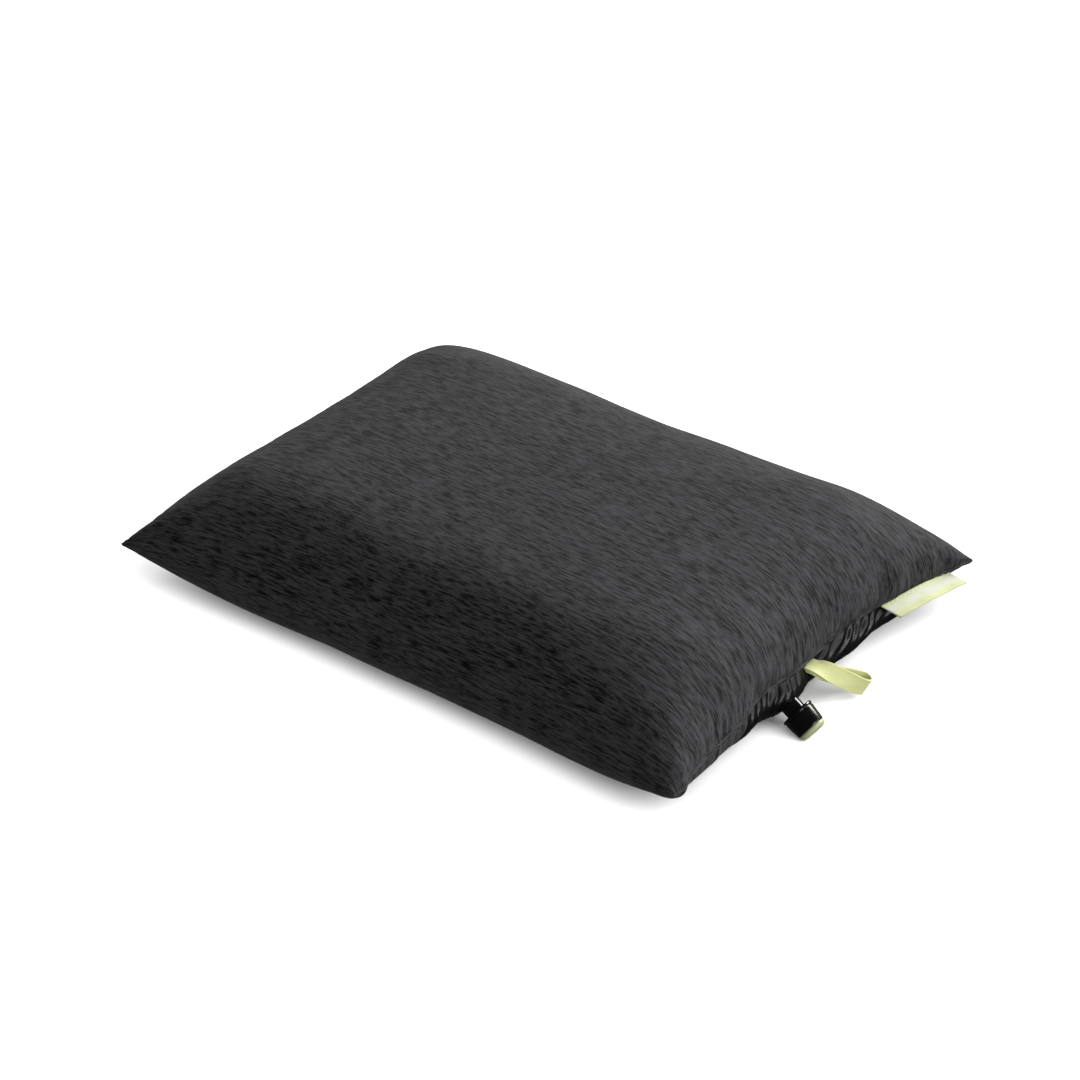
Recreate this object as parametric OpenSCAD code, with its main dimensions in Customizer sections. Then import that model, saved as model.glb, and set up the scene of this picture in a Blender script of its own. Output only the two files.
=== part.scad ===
// Inflatable camp pillow: a stretch-knit cover over an insulated, baffled air
// bladder, with a twist valve, a pull loop and a label tab at one short end.
//
// Frame: the floor is z = 0, +X points out of the valve end, and the origin is
// the centre of the flat the pillow rests on. Millimetres.

/* [Pillow] */
// Half of the length, from the middle to a corner tip
half_l = 190; // [170:1:210]
// Half of the width, from the middle to a corner tip
half_w = 139; // [125:1:155]
// Height of the seam that runs round the edge
seam_h = 33; // [30:1:36]
// Rise of the top above the seam
crown_h = 50.5; // [45:0.5:60]
// Fall of the underside below the seam before the floor flattens it
belly_h = 38; // [36:1:42]
// How far the short ends pull in between their corners, as a share of half_l
end_pull = 0.071; // [0.05:0.005:0.09]
// How far the long sides pull in between their corners, as a share of half_w
side_pull = 0.057; // [0.04:0.005:0.08]

/* [Fabric] */
// Thickness of the knitted cover
knit_t = 1.2; // [0.8:0.1:1.2]
// Thickness of the woven underside panel
panel_t = 1.2; // [0.8:0.1:1.2]
// Thickness of the insulation batt
batt_t = 2; // [1:0.1:2]
// Thickness of a bladder skin
skin_t = 0.6; // [0.4:0.1:0.6]
// Thickness of an internal baffle
baffle_t = 0.8; // [0.5:0.1:1]
// Diameter of the air holes in a baffle
baffle_hole_d = 22; // [10:1:30]

/* [Valve] */
// Radius of the neck
neck_r = 5.75; // [5.5:0.05:5.8]
// Radius of the air passage through the neck
passage_r = 4; // [3.5:0.1:4.2]
// Largest radius of the knob, at its rear rim
knob_rear_r = 9.6; // [9.5:0.1:11]
// Radius of the knob at its front rim
knob_front_r = 8.45; // [8.4:0.05:9]
// Radius of the mouth that a pump nozzle enters
mouth_r = 4.5; // [4:0.1:5]
// Angle that the valve droops below level
valve_droop = 33; // [30:1:36]

/* [Tabs] */
// Width of the loop's ribbon
ribbon_w = 10.5; // [8:0.5:11]
// Thickness of the ribbons
ribbon_t = 0.9; // [0.6:0.1:1]
// Clear eye between the loop's two plies
loop_eye = 6.6; // [6.2:0.1:8]

/* [Hidden] */

charcoal = [0.24, 0.24, 0.25];
near_black = [0.09, 0.09, 0.1];
lime = [0.82, 0.88, 0.5];
batt_white = [0.9, 0.9, 0.88];
seal_grey = [0.45, 0.45, 0.45];

// --- The pillow's surface ------------------------------------------------------
// u runs -1..1 along the length and v -1..1 across the width. The crown is the
// product of two fall-offs: nearly flat along the length, a little rounder across it.
end_power = 5.1;
end_rise = 0.404;
side_power = 3.2;
side_rise = 0.48;
tip_lift = 2.3;

function falloff(a, power, rise) = pow(max(0, 1 - pow(abs(a), power)), rise);
function crown(u, v) = falloff(u, end_power, end_rise) * falloff(v, side_power, side_rise);
function seam_z(u, v) = seam_h + tip_lift * pow(u * v, 4);
function plan_x(u, v) = half_l * u * (1 - end_pull * (1 - v * v) * u * u);
function plan_y(u, v) = half_w * v * (1 - side_pull * (1 - u * u) * v * v);
function rise(u, v, top, inset) =
    top ? (crown_h - inset) * crown(u, v)
        : -min(belly_h * crown(u, v), seam_z(u, v)) * (1 - inset / seam_h);
// A point of the surface that lies inset millimetres inside the outer one
function skin_point(u, v, top, inset) =
    [plan_x(u, v) * (1 - inset / half_l),
     plan_y(u, v) * (1 - inset / half_w),
     seam_z(u, v) + rise(u, v, top, inset)];

// Grid lines, closer together where the surface turns down to its seam. They
// include the edges of the underside panel and of the cover's opening.
panel_end_u = 0.86;
panel_tail_u = -0.84;
panel_side_v = 0.6;
opening_v = [-0.37, 0.78];
hem_u = 0.96;
lip_u = 0.8;
batt_edge = 0.96;
u_lines = [-1, -0.994, -0.98, -hem_u, -0.91, panel_tail_u, -0.72, -0.56, -0.38, -0.19, 0,
           0.19, 0.38, 0.56, 0.7, lip_u, panel_end_u, 0.91, hem_u, 0.98, 0.994, 1];
v_lines = [-1, -0.99, -0.96, -0.91, -0.85, -opening_v[1], -panel_side_v, opening_v[0], -0.18, 0,
           0.18, -opening_v[0], panel_side_v, opening_v[1], 0.85, 0.91, 0.96, 0.99, 1];
cols = len(v_lines);
rows = len(u_lines);

// Which cells each sheet covers, from the middle of the cell
in_panel = function(u, v) u > panel_tail_u && u < panel_end_u && abs(v) < panel_side_v;
in_opening = function(u, v) u > panel_end_u && v > opening_v[0] && v < opening_v[1];

top_side = 0;
bottom_side = 1;
function cell_mid(lines, k) = (lines[k] + lines[k + 1]) / 2;
function on_rim(i, j) = i == 0 || j == 0 || i == rows - 1 || j == cols - 1;
function index(layer, side, i, j) =
    ((2 * layer + (on_rim(i, j) ? top_side : side)) * rows + i) * cols + j;

// Which corner a cell's split starts from: each split runs from a tip inwards
function split_start(i, j) = cell_mid(u_lines, i) * cell_mid(v_lines, j) > 0 ? 0 : 1;

// A sheet of fabric: the cells that has(side, u, v) accepts, between two insets
module sheet(has, outer, inner) {
    insets = [outer, inner];
    points = [for (layer = [0, 1], side = [top_side, bottom_side], i = [0:rows - 1], j = [0:cols - 1])
              skin_point(u_lines[i], v_lines[j], side == top_side, insets[layer])];
    inside = function(side, i, j)
        let (u = cell_mid(u_lines, i), v = cell_mid(v_lines, j)) has(side, u, v);
    // The cell across each edge. Past the rim it is the same cell on the other side.
    filled = function(side, i, j)
        (i < 0 || i > rows - 2 || j < 0 || j > cols - 2)
            ? inside(1 - side, min(max(i, 0), rows - 2), min(max(j, 0), cols - 2))
            : inside(side, i, j);
    faces = [for (side = [top_side, bottom_side], i = [0:rows - 2], j = [0:cols - 2])
             if (inside(side, i, j))
             let (a = [i, j], b = [i + 1, j], c = [i + 1, j + 1], d = [i, j + 1],
                  around = side == top_side ? [a, d, c, b] : [a, b, c, d],
                  past = side == top_side ? [[i - 1, j], [i, j + 1], [i + 1, j], [i, j - 1]]
                                          : [[i, j - 1], [i + 1, j], [i, j + 1], [i - 1, j]],
                  first = split_start(i, j),
                  turn = [for (k = [0:3]) (k + first) % 4],
                  beyond = [for (k = turn) past[k]],
                  o = [for (k = turn) index(0, side, around[k][0], around[k][1])],
                  n = [for (k = turn) index(1, side, around[k][0], around[k][1])])
             each concat([[o[0], o[1], o[2]], [o[0], o[2], o[3]], [n[2], n[1], n[0]], [n[3], n[2], n[0]]],
                         [for (k = [0:3]) if (!filled(side, beyond[k][0], beyond[k][1]))
                          let (m = (k + 1) % 4) each [[o[m], o[k], n[k]], [o[m], n[k], n[m]]]])];
    polyhedron(points, faces, convexity = 6);
}

// The whole closed space inside the surface at one inset
module filled_pillow(inset) {
    points = [for (side = [top_side, bottom_side], i = [0:rows - 1], j = [0:cols - 1])
              skin_point(u_lines[i], v_lines[j], side == top_side, inset)];
    faces = [for (side = [top_side, bottom_side], i = [0:rows - 2], j = [0:cols - 2])
             let (around = [[i, j], [i + 1, j], [i + 1, j + 1], [i, j + 1]],
                  o = [for (k = [0:3])
                       let (p = around[(k + split_start(i, j)) % 4]) index(0, side, p[0], p[1])])
             each side == top_side ? [[o[2], o[1], o[0]], [o[3], o[2], o[0]]]
                                   : [[o[0], o[1], o[2]], [o[0], o[2], o[3]]]];
    polyhedron(points, faces, convexity = 4);
}

// --- Layers, from the outside in ------------------------------------------------
layer_gap = 0.1;
hem_t = 0.8;
hem_inset = max(knit_t, panel_t) + layer_gap;
batt_inset = knit_t + layer_gap;
bladder_inset = batt_inset + batt_t + 0.5;
chamber_inset = bladder_inset + skin_t;

module jersey_cover() {
    color(charcoal)
    sheet(function(side, u, v) side == top_side || !(in_panel(u, v) || in_opening(u, v)), 0, knit_t);
}

module underside_panel() {
    color(near_black) sheet(function(side, u, v) side == bottom_side && in_panel(u, v), 0, panel_t);
}

// The jersey's own edge, folded in once along the opening's upper lip
module upper_opening_hem() {
    color(charcoal)
    sheet(function(side, u, v) side == top_side && u > hem_u && v > opening_v[0] && v < opening_v[1],
          hem_inset, hem_inset + hem_t);
}

// The fold along the lower lip, on the end of the underside panel
module lower_opening_hem() {
    color(near_black)
    sheet(function(side, u, v) side == bottom_side && in_panel(u, v) && u > lip_u,
          hem_inset, hem_inset + hem_t);
}

module insulation_batt() {
    color(batt_white)
    sheet(function(side, u, v) side == top_side && abs(u) < batt_edge && abs(v) < batt_edge,
          batt_inset, batt_inset + batt_t);
}

module bladder_top_skin() {
    color(near_black) sheet(function(side, u, v) side == top_side, bladder_inset, chamber_inset);
}

module bladder_bottom_skin() {
    color(near_black) difference() {
        sheet(function(side, u, v) side == bottom_side, bladder_inset, chamber_inset);
        valve_frame() translate([0, 0, -12]) cylinder(r = neck_r + 0.3, h = 20, $fn = 32);
    }
}

// --- Baffles: two webs that tie the skins together along the length --------------
baffle_y = 45;
baffle_half_l = 135;
baffle_holes = 5;
baffle_hole_pitch = 50;

module baffle(y) {
    color(near_black) difference() {
        intersection() {
            filled_pillow(chamber_inset + 0.05);
            translate([-baffle_half_l, y - baffle_t / 2, 0]) cube([2 * baffle_half_l, baffle_t, 100]);
        }
        for (k = [0:baffle_holes - 1])
            translate([(k - (baffle_holes - 1) / 2) * baffle_hole_pitch, y, (seam_h + crown_h) / 2])
                rotate([90, 0, 0])
                    cylinder(d = baffle_hole_d, h = 4 * baffle_t, center = true, $fn = 32);
    }
}

module front_baffle() baffle(-baffle_y);
module rear_baffle() baffle(baffle_y);

// --- Valve ------------------------------------------------------------------------
// Everything on the valve is turned about its own axis, z here, which starts at
// the bladder's skin and points out of the mouth.
valve_seat = [174.5, -16, 19.8];
module valve_frame() translate(valve_seat) rotate([0, 90 + valve_droop, 0]) children();

run_gap = 0.35;
neck_back = -8;
neck_front = 19.2;
knob_back = 10.6;
knob_front = 22.4;
collar_front = 12.6;
key_r = 6.4;
key_w = 1.6;
key_back = 15.9;
key_front = 17.2;
o_ring_z = 18.1;
o_ring_r = 0.55;
orifice_r = 3.2;
orifice_back = 19.6;
orifice_front = 21.5;
dome_front = 25.5;
sleeve_r = 7.4;
catch_r = 8.2;
catch_back = 12.9;
catch_front = 14.1;
round_fn = 64;

module turned(profile) rotate_extrude($fn = round_fn) polygon(profile);

// Soft moulded boot, welded to the inside of the bladder round the neck
module valve_flange() {
    color(near_black) intersection() {
        filled_pillow(chamber_inset + 0.05);
        valve_frame()
            turned([[neck_r + 0.05, 2], [9.5, 2], [9.5, -6.5], [8.6, neck_back], [neck_r + 0.05, -4.5]]);
    }
}

module valve_neck() {
    color(near_black) valve_frame() difference() {
        union() {
            translate([0, 0, neck_back]) cylinder(r = neck_r, h = neck_front - neck_back, $fn = round_fn);
            for (a = [0, 180])
                rotate([0, 0, a]) translate([neck_r - 0.4, -key_w / 2, key_back])
                    cube([key_r - neck_r + 0.4, key_w, key_front - key_back]);
        }
        translate([0, 0, neck_back - 1])
            cylinder(r = passage_r, h = neck_front - neck_back + 2, $fn = round_fn);
        translate([0, 0, o_ring_z]) rotate_extrude($fn = round_fn)
            translate([neck_r + run_gap - o_ring_r, 0]) square([2 * o_ring_r, 2 * o_ring_r], center = true);
    }
}

// Fixed post that stops the mouthpiece's hole when the valve is screwed shut
module valve_plug() {
    post_r = 2.1;
    ring_wall = 0.7;
    spider = [8, 12];
    color(near_black) valve_frame() {
        translate([0, 0, spider[0]]) cylinder(r = post_r, h = orifice_front - 0.4 - spider[0], $fn = 32);
        translate([0, 0, spider[0]]) difference() {
            cylinder(r = passage_r - 0.03, h = spider[1] - spider[0], $fn = round_fn);
            translate([0, 0, -1])
                cylinder(r = passage_r - ring_wall, h = spider[1] - spider[0] + 2, $fn = round_fn);
        }
        for (a = [0:120:240])
            rotate([0, 0, a]) translate([post_r - 0.3, -0.4, spider[0]])
                cube([passage_r - post_r - 0.1, 0.8, spider[1] - spider[0]]);
    }
}

module plug_seal() {
    color(seal_grey) valve_frame()
        translate([0, 0, orifice_back + 0.2]) difference() {
            cylinder(r = orifice_r - 0.08, h = orifice_front - orifice_back - 0.6, $fn = round_fn);
            translate([0, 0, -1]) cylinder(r = 2.15, h = 5, $fn = round_fn);
        }
}

module neck_o_ring() {
    color(seal_grey) valve_frame() translate([0, 0, o_ring_z]) rotate_extrude($fn = round_fn)
        translate([neck_r + run_gap - o_ring_r - 0.02, 0]) circle(r = o_ring_r - 0.03, $fn = 24);
}

// Slides on the neck without turning: two keys on the neck hold it square
module valve_mouthpiece() {
    bore_r = neck_r + run_gap;
    slot_w = key_w + 0.6;
    color(lime) valve_frame() difference() {
        turned([[bore_r, catch_back], [catch_r, catch_back], [catch_r, catch_front], [sleeve_r, catch_front],
                [sleeve_r, knob_front + 0.3], [knob_front_r - 0.35, knob_front + 0.3],
                [knob_front_r - 0.45, knob_front + 1.5], [knob_front_r - 1.1, knob_front + 2.5],
                [mouth_r + 0.9, dome_front], [mouth_r, dome_front], [mouth_r, orifice_front],
                [orifice_r, orifice_front], [orifice_r, orifice_back], [bore_r, orifice_back]]);
        for (a = [0, 180])
            rotate([0, 0, a]) translate([bore_r - 1, -slot_w / 2, catch_back - 1])
                cube([key_r + 0.3 - bore_r + 1, slot_w, key_front + 0.3 - catch_back + 1]);
    }
}

// Turns on the neck's coarse thread and carries the mouthpiece in and out
module valve_knob() {
    color(near_black) valve_frame()
        turned([[neck_r + run_gap, knob_back], [knob_rear_r - 0.8, knob_back],
                [knob_rear_r, knob_back + 0.8], [knob_rear_r - 0.1, knob_back + 1.8],
                [knob_front_r + 0.1, knob_front - 0.4], [knob_front_r - 0.2, knob_front],
                [sleeve_r + 0.3, knob_front], [sleeve_r + 0.3, catch_front + 0.3],
                [catch_r + 0.3, catch_front + 0.3], [catch_r + 0.3, collar_front],
                [neck_r + run_gap, collar_front]]);
}

// --- Loop tab: one ribbon folded in half, both ends sewn into the opening's lip ----
// Its middle line is a cubic curve that droops to the floor, and its width turns
// from lying along the seam to standing on edge.
loop_route = [[177.6, 5.8, 29.2], [191, 6, 30], [190, 30, 7.5], [197.5, 37, 6.2]];
loop_root_pitch = 1.4;
loop_steps = 14;
bend_steps = 8;

function bezier(p, t) =
    pow(1 - t, 3) * p[0] + 3 * t * pow(1 - t, 2) * p[1] + 3 * t * t * (1 - t) * p[2] + pow(t, 3) * p[3];
function bezier_slope(p, t) =
    3 * pow(1 - t, 2) * (p[1] - p[0]) + 6 * t * (1 - t) * (p[2] - p[1]) + 3 * t * t * (p[3] - p[2]);
function unit(a) = a / norm(a);
function smooth(t) = let (s = min(max(t, 0), 1)) s * s * (3 - 2 * s);
// Width direction of the ribbon, square to the route
function loop_width(t) =
    let (along = unit(bezier_slope(loop_route, t)),
         turn = 90 * smooth(t / 0.8),
         aim = [0, cos(turn), sin(turn)])
    unit(aim - (aim * along) * along);
function loop_side(t) = cross(unit(bezier_slope(loop_route, t)), loop_width(t));
// Distance of each ply's middle from the route
function ply_offset(t) = (loop_root_pitch + (loop_eye + ribbon_t - loop_root_pitch) * smooth(t / 0.75)) / 2;

// A ply's stations run out along one side, round the bend, and back along the other
bend_t = 0.9;
bend_centre = bezier(loop_route, bend_t);
bend_along = unit(bezier_slope(loop_route, bend_t));
function out_station(t, hand) =
    [bezier(loop_route, t) + hand * ply_offset(t) * loop_side(t), loop_width(t), hand * loop_side(t)];
function bend_station(a) =
    let (away = cos(a) * loop_side(bend_t) + sin(a) * bend_along)
    [bend_centre + ply_offset(bend_t) * away, loop_width(bend_t), away];
loop_stations = concat(
    [for (k = [0:loop_steps - 1]) out_station(bend_t * k / loop_steps, 1)],
    [for (k = [0:bend_steps]) bend_station(180 * k / bend_steps)],
    [for (k = [loop_steps - 1:-1:0]) out_station(bend_t * k / loop_steps, -1)]);

// A strip swept through stations of [middle, width direction, outward direction]
module ribbon(stations, width, thick) {
    corners = [[-1, -1], [1, -1], [1, 1], [-1, 1]];
    points = [for (s = stations, c = corners) s[0] + c[0] * width / 2 * s[1] + c[1] * thick / 2 * s[2]];
    last = 4 * (len(stations) - 1);
    faces = concat(
        [[0, 1, 2], [0, 2, 3]],
        [for (k = [0:len(stations) - 2], c = [0:3])
            let (a = 4 * k + c, b = 4 * k + (c + 1) % 4) each [[a, a + 4, b + 4], [a, b + 4, b]]],
        [[last + 2, last + 1, last], [last + 3, last + 2, last]]);
    polyhedron(points, faces, convexity = 6);
}

module loop_tab() color(lime) ribbon(loop_stations, ribbon_w, ribbon_t);

// The sewn ends of the loop, held flat under the lip of the cover. The loop
// flexes about a line between them and its free stretch.
loop_root_x = [174.4, 176];

module loop_tab_root() {
    color(lime)
        for (side = [-1, 1])
            translate([loop_root_x[0], loop_route[0][1] - ribbon_w / 2,
                       loop_route[0][2] + side * ply_offset(0) - ribbon_t / 2])
                cube([loop_root_x[1] - loop_root_x[0], ribbon_w, ribbon_t]);
}

// --- Label tab: a short ribbon sewn lengthwise along the same seam -----------------
label_start = [181.1, 76, 31.5];
label_run = [7.2, 50.5, 0.5];
label_reach = [11, 3.2, -4.6];
// Shares of the reach where the sewn strip ends and the free flap starts
label_sewn = 0.12;
label_free = 0.19;

// A flat four-sided patch from a corner and its two edges
module patch(corner, run, reach, thick) {
    up = unit(cross(reach, run)) * thick / 2;
    base = [corner, corner + run, corner + run + reach, corner + reach];
    points = concat([for (p = base) p - up], [for (p = base) p + up]);
    polyhedron(points, [[0, 1, 2, 3], [7, 6, 5, 4], [0, 4, 5, 1], [1, 5, 6, 2], [2, 6, 7, 3], [3, 7, 4, 0]]);
}

module label_strip(from, to)
    color(lime) patch(label_start + from * label_reach, label_run, (to - from) * label_reach, ribbon_t);

module label_tab_root() label_strip(0, label_sewn);
module label_tab() label_strip(label_free, 1);

jersey_cover();
underside_panel();
upper_opening_hem();
lower_opening_hem();
insulation_batt();
bladder_top_skin();
bladder_bottom_skin();
front_baffle();
rear_baffle();
valve_flange();
valve_neck();
valve_plug();
plug_seal();
neck_o_ring();
valve_mouthpiece();
valve_knob();
loop_tab_root();
loop_tab();
label_tab_root();
label_tab();
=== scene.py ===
"""Inflatable camp pillow: the visual model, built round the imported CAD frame.

Metres, in the CAD's frame: the floor is z = 0, +X points out of the valve end, and the
origin is the centre of the flat that the pillow rests on.
"""

import math

import bmesh
import bpy
import numpy as np
from mathutils import Matrix, Vector, noise


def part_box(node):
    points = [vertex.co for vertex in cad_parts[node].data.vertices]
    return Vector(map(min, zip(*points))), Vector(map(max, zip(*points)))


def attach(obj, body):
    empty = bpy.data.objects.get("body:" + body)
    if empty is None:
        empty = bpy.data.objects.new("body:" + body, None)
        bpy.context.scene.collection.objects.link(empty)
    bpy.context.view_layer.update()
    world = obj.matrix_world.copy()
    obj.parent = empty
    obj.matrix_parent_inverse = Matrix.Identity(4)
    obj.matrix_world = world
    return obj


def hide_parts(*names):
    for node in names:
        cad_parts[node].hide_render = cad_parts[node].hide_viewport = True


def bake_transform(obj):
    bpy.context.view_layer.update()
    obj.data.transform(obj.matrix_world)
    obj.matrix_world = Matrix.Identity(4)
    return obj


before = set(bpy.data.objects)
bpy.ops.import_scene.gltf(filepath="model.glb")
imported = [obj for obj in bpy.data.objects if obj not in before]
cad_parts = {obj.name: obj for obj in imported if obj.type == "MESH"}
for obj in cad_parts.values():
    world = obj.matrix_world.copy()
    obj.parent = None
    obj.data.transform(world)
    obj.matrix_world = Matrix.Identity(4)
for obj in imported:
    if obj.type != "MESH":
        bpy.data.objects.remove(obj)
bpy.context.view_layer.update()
MM = 0.001

# --- Driving values: the CAD's own, but the opening starts a little further forward ---
_, cover_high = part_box("jersey_cover")
HALF_L = cover_high.x
HALF_W = cover_high.y
SEAM_H = 33 * MM
CROWN_H = cover_high.z - SEAM_H
BELLY_H = 38 * MM
END_PULL = 0.071
SIDE_PULL = 0.057
END_POWER = 5.1
END_RISE = 0.404
SIDE_POWER = 3.2
SIDE_RISE = 0.48
TIP_LIFT = 2.3 * MM

PANEL_U = (-0.84, 0.86)
PANEL_V = 0.6
OPENING_V = (-0.42, 0.78)
HEM_U = 0.96
BATT_EDGE = 0.96

VALVE_SEAT = Vector((174.5, -16, 19.8)) * MM
VALVE_DROOP = math.radians(33)

FLOOR_GAP = 0.3 * MM

# How the real cover departs from the plain surface
FULLNESS = 1.0 * MM
BACK_SLACK = 1.8 * MM
BACK_SWELL = 2.4 * MM
FAR_END_DRAW = 1.8 * MM
CORNER_BLUNT = 3.0 * MM
GATHER_DEPTH = 0.7 * MM
CREASE_DEPTH = 0.7 * MM
HEM_WIDTH = 4.2 * MM
HEM_GROOVE = 0.55 * MM
GATHER = 0.07
GATHER_REACH = 28 * MM
CLOTH_GRIP = 0.1
CLOTH_FRAMES = 20
CLOTH_CAP = 4 * MM
HELD_BELOW = 3 * MM
LIP_LIFT = np.array((-2.5, 0, 3.5)) * MM
LIP_REACH = 9 * MM
CHAMBER_PROUD = 2.4 * MM
CHAMBER_V = 0.69
# End, flank, outward pull, reach and drop of each corner
CORNERS = [
    (-1, -1, 4 * MM, 9 * MM, 0.0),
    (1, 1, 4.5 * MM, 9 * MM, 1.5 * MM),
    (1, -1, -1.5 * MM, 14 * MM, 2.0 * MM),
    (-1, 1, -4 * MM, 14 * MM, 0.0),
]

TOP = 0
BOTTOM = 1
GRID_U = 151
GRID_V = 115


# --- Camera, light and floor ---
DOME_ABOVE = 0.42
DOME_BELOW = 0.44
# Share of the dome that gloss reflects: the studio is dark but for its lamps
DOME_MIRRORED = 0.12
# Name, azimuth, elevation, strength and apparent width of each sun, with angles in degrees
OBJECT_SUNS = [("back_sun", 84, 29, 3.6, 28), ("end_sun", 5, 9, 1.6, 30)]
FLOOR_SUNS = [
    ("floor_front", -80, 50, 2.9, 45),
    ("floor_side", -8, 42, 4.2, 45),
    ("floor_dome", 80, 70, 0.5, 120),
]
TRIM_SUN = ("trim_fill", -35, 35, 1.1, 80)
BOX_PLACE = (0.9, 0.55, 0.35)
BOX_AIM = (0.19, -0.02, 0.02)
BOX_POWER = 1.6
BOX_SIZE = 0.35


def add_camera():
    """The picture's viewing angle: from the valve end's front corner, a third of the way up."""
    azimuth = math.radians(37.92)
    elevation = math.radians(33.23)
    distance = 1.8925
    target = Vector((0, 0, 0.025))
    level = math.cos(elevation)
    back = Vector((math.sin(azimuth) * level, -math.cos(azimuth) * level, math.sin(elevation)))
    data = bpy.data.cameras.new("camera")
    data.lens = 111.4
    data.sensor_width = 36
    data.shift_x = -0.0048
    data.shift_y = 0.0245
    data.clip_start = 0.05
    camera = bpy.data.objects.new("camera", data)
    camera.location = target + back * distance
    camera.rotation_euler = back.to_track_quat("Z", "Y").to_euler()
    bpy.context.scene.collection.objects.link(camera)
    bpy.context.scene.camera = camera


def add_lamp(name, kind, place, aim, energy, **settings):
    data = bpy.data.lights.new(name, kind)
    for key, value in {"energy": energy, **settings}.items():
        setattr(data, key, value)
    lamp = bpy.data.objects.new(name, data)
    lamp.location = place
    away = Vector(place) - Vector(aim)
    lamp.rotation_euler = away.to_track_quat("Z", "Y").to_euler()
    bpy.context.scene.collection.objects.link(lamp)
    return lamp


def add_sun(name, azimuth, elevation, strength, width):
    """A sun in that direction, in degrees, with the azimuth anticlockwise from +X."""
    turn = math.radians(azimuth)
    rise = math.radians(elevation)
    place = (math.cos(turn) * math.cos(rise), math.sin(turn) * math.cos(rise), math.sin(rise))
    return add_lamp(name, "SUN", place, (0, 0, 0), strength, angle=math.radians(width))


def map_range(tree, value, low, high, to_low, to_high):
    made = tree.nodes.new("ShaderNodeMapRange")
    tree.links.new(value, made.inputs["Value"])
    made.inputs["From Min"].default_value = low
    made.inputs["From Max"].default_value = high
    made.inputs["To Min"].default_value = to_low
    made.inputs["To Max"].default_value = to_high
    return made.outputs["Result"]


def add_dome():
    """A pale dome all round, whose reflection in gloss is dim."""
    world = bpy.data.worlds.new("studio")
    world.use_nodes = True
    tree = world.node_tree
    where = tree.nodes.new("ShaderNodeTexCoord")
    split = tree.nodes.new("ShaderNodeSeparateXYZ")
    tree.links.new(where.outputs["Generated"], split.inputs[0])
    fade = map_range(tree, split.outputs["Z"], -0.3, 0.3, DOME_BELOW, DOME_ABOVE)
    ray = tree.nodes.new("ShaderNodeLightPath")
    mirrored = map_range(tree, ray.outputs["Is Glossy Ray"], 0, 1, 1, DOME_MIRRORED)
    strength = tree.nodes.new("ShaderNodeMath")
    strength.operation = "MULTIPLY"
    tree.links.new(fade, strength.inputs[0])
    tree.links.new(mirrored, strength.inputs[1])
    background = tree.nodes["Background"]
    background.inputs["Color"].default_value = (1, 1, 1, 1)
    tree.links.new(strength.outputs["Value"], background.inputs["Strength"])
    bpy.context.scene.world = world
    bpy.context.scene.view_settings.view_transform = "Standard"


def add_lights():
    """Soft suns low behind the pillow, and a softbox that the valve's gloss reflects."""
    suns = [add_sun(*sun) for sun in OBJECT_SUNS]
    return [*suns, add_lamp("gloss_box", "AREA", BOX_PLACE, BOX_AIM, BOX_POWER, size=BOX_SIZE)]


def add_floor(object_lamps):
    """A pale floor with suns of its own, so that only contact shadows fall on it."""
    mesh = bpy.data.meshes.new("floor")
    corners = [(-6, -6, 0), (6, -6, 0), (6, 6, 0), (-6, 6, 0)]
    mesh.from_pydata(corners, [], [(0, 1, 2, 3)])
    floor = bpy.data.objects.new("floor", mesh)
    bpy.context.scene.collection.objects.link(floor)
    material = bpy.data.materials.new("studio_floor")
    material.use_nodes = True
    shader = material.node_tree.nodes["Principled BSDF"]
    shader.inputs["Base Color"].default_value = (0.82, 0.82, 0.82, 1)
    shader.inputs["Roughness"].default_value = 0.95
    shader.inputs["Specular IOR Level"].default_value = 0
    mesh.materials.append(material)
    floor.visible_diffuse = False
    floor.visible_glossy = False
    lit = bpy.data.collections.new("floor_only")
    lit.objects.link(floor)
    for sun in FLOOR_SUNS:
        add_sun(*sun).light_linking.receiver_collection = lit
    unlit = bpy.data.collections.new("all_but_floor")
    unlit.objects.link(floor)
    unlit.collection_objects[0].light_linking.link_state = "EXCLUDE"
    for lamp in object_lamps:
        lamp.light_linking.receiver_collection = unlit


def add_trim_light(pieces):
    """A soft fill from the front that only the pale trim takes, so that it stays clear of grey."""
    trim = bpy.data.collections.new("trim")
    for piece in pieces:
        trim.objects.link(piece)
    add_sun(*TRIM_SUN).light_linking.receiver_collection = trim


add_camera()
add_dome()
add_floor(add_lights())


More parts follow.
